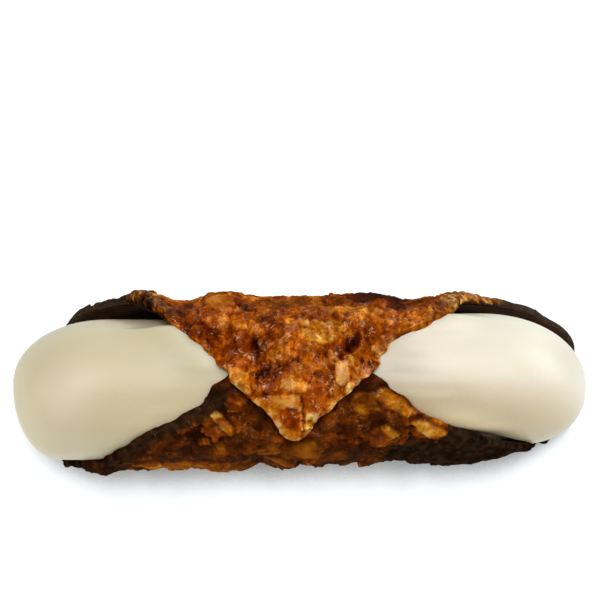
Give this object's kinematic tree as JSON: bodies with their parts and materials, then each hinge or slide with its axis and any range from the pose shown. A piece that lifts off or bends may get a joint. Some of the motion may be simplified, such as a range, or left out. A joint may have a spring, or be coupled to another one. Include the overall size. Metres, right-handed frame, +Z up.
{
  "type": "filled cannoli",
  "caption": "A tube of crisp fried pastry wrapped corner over corner, lined with dark chocolate and filled end to end with smooth cream that swells out of both slanted mouths.",
  "frame": {"origin": "on the floor, under the middle of the tube", "axes": "+X along the tube to its right end, -Y to the side that the pointed flap leans to, +Z up"},
  "size_m": [0.1306, 0.0421, 0.0408],
  "materials": {
    "fried_pastry": "blistered and flaky, deep golden brown with darker hollows, glazed by the frying fat",
    "dark_chocolate": "smooth satin dark chocolate, brushed on thinly",
    "cream": "smooth ivory cream with a soft sheen"
  },
  "bodies": {
    "root": {"pastry_shell": "fried_pastry", "chocolate_lining": "dark_chocolate", "cream_filling": "cream"}
  },
  "joints": []
}
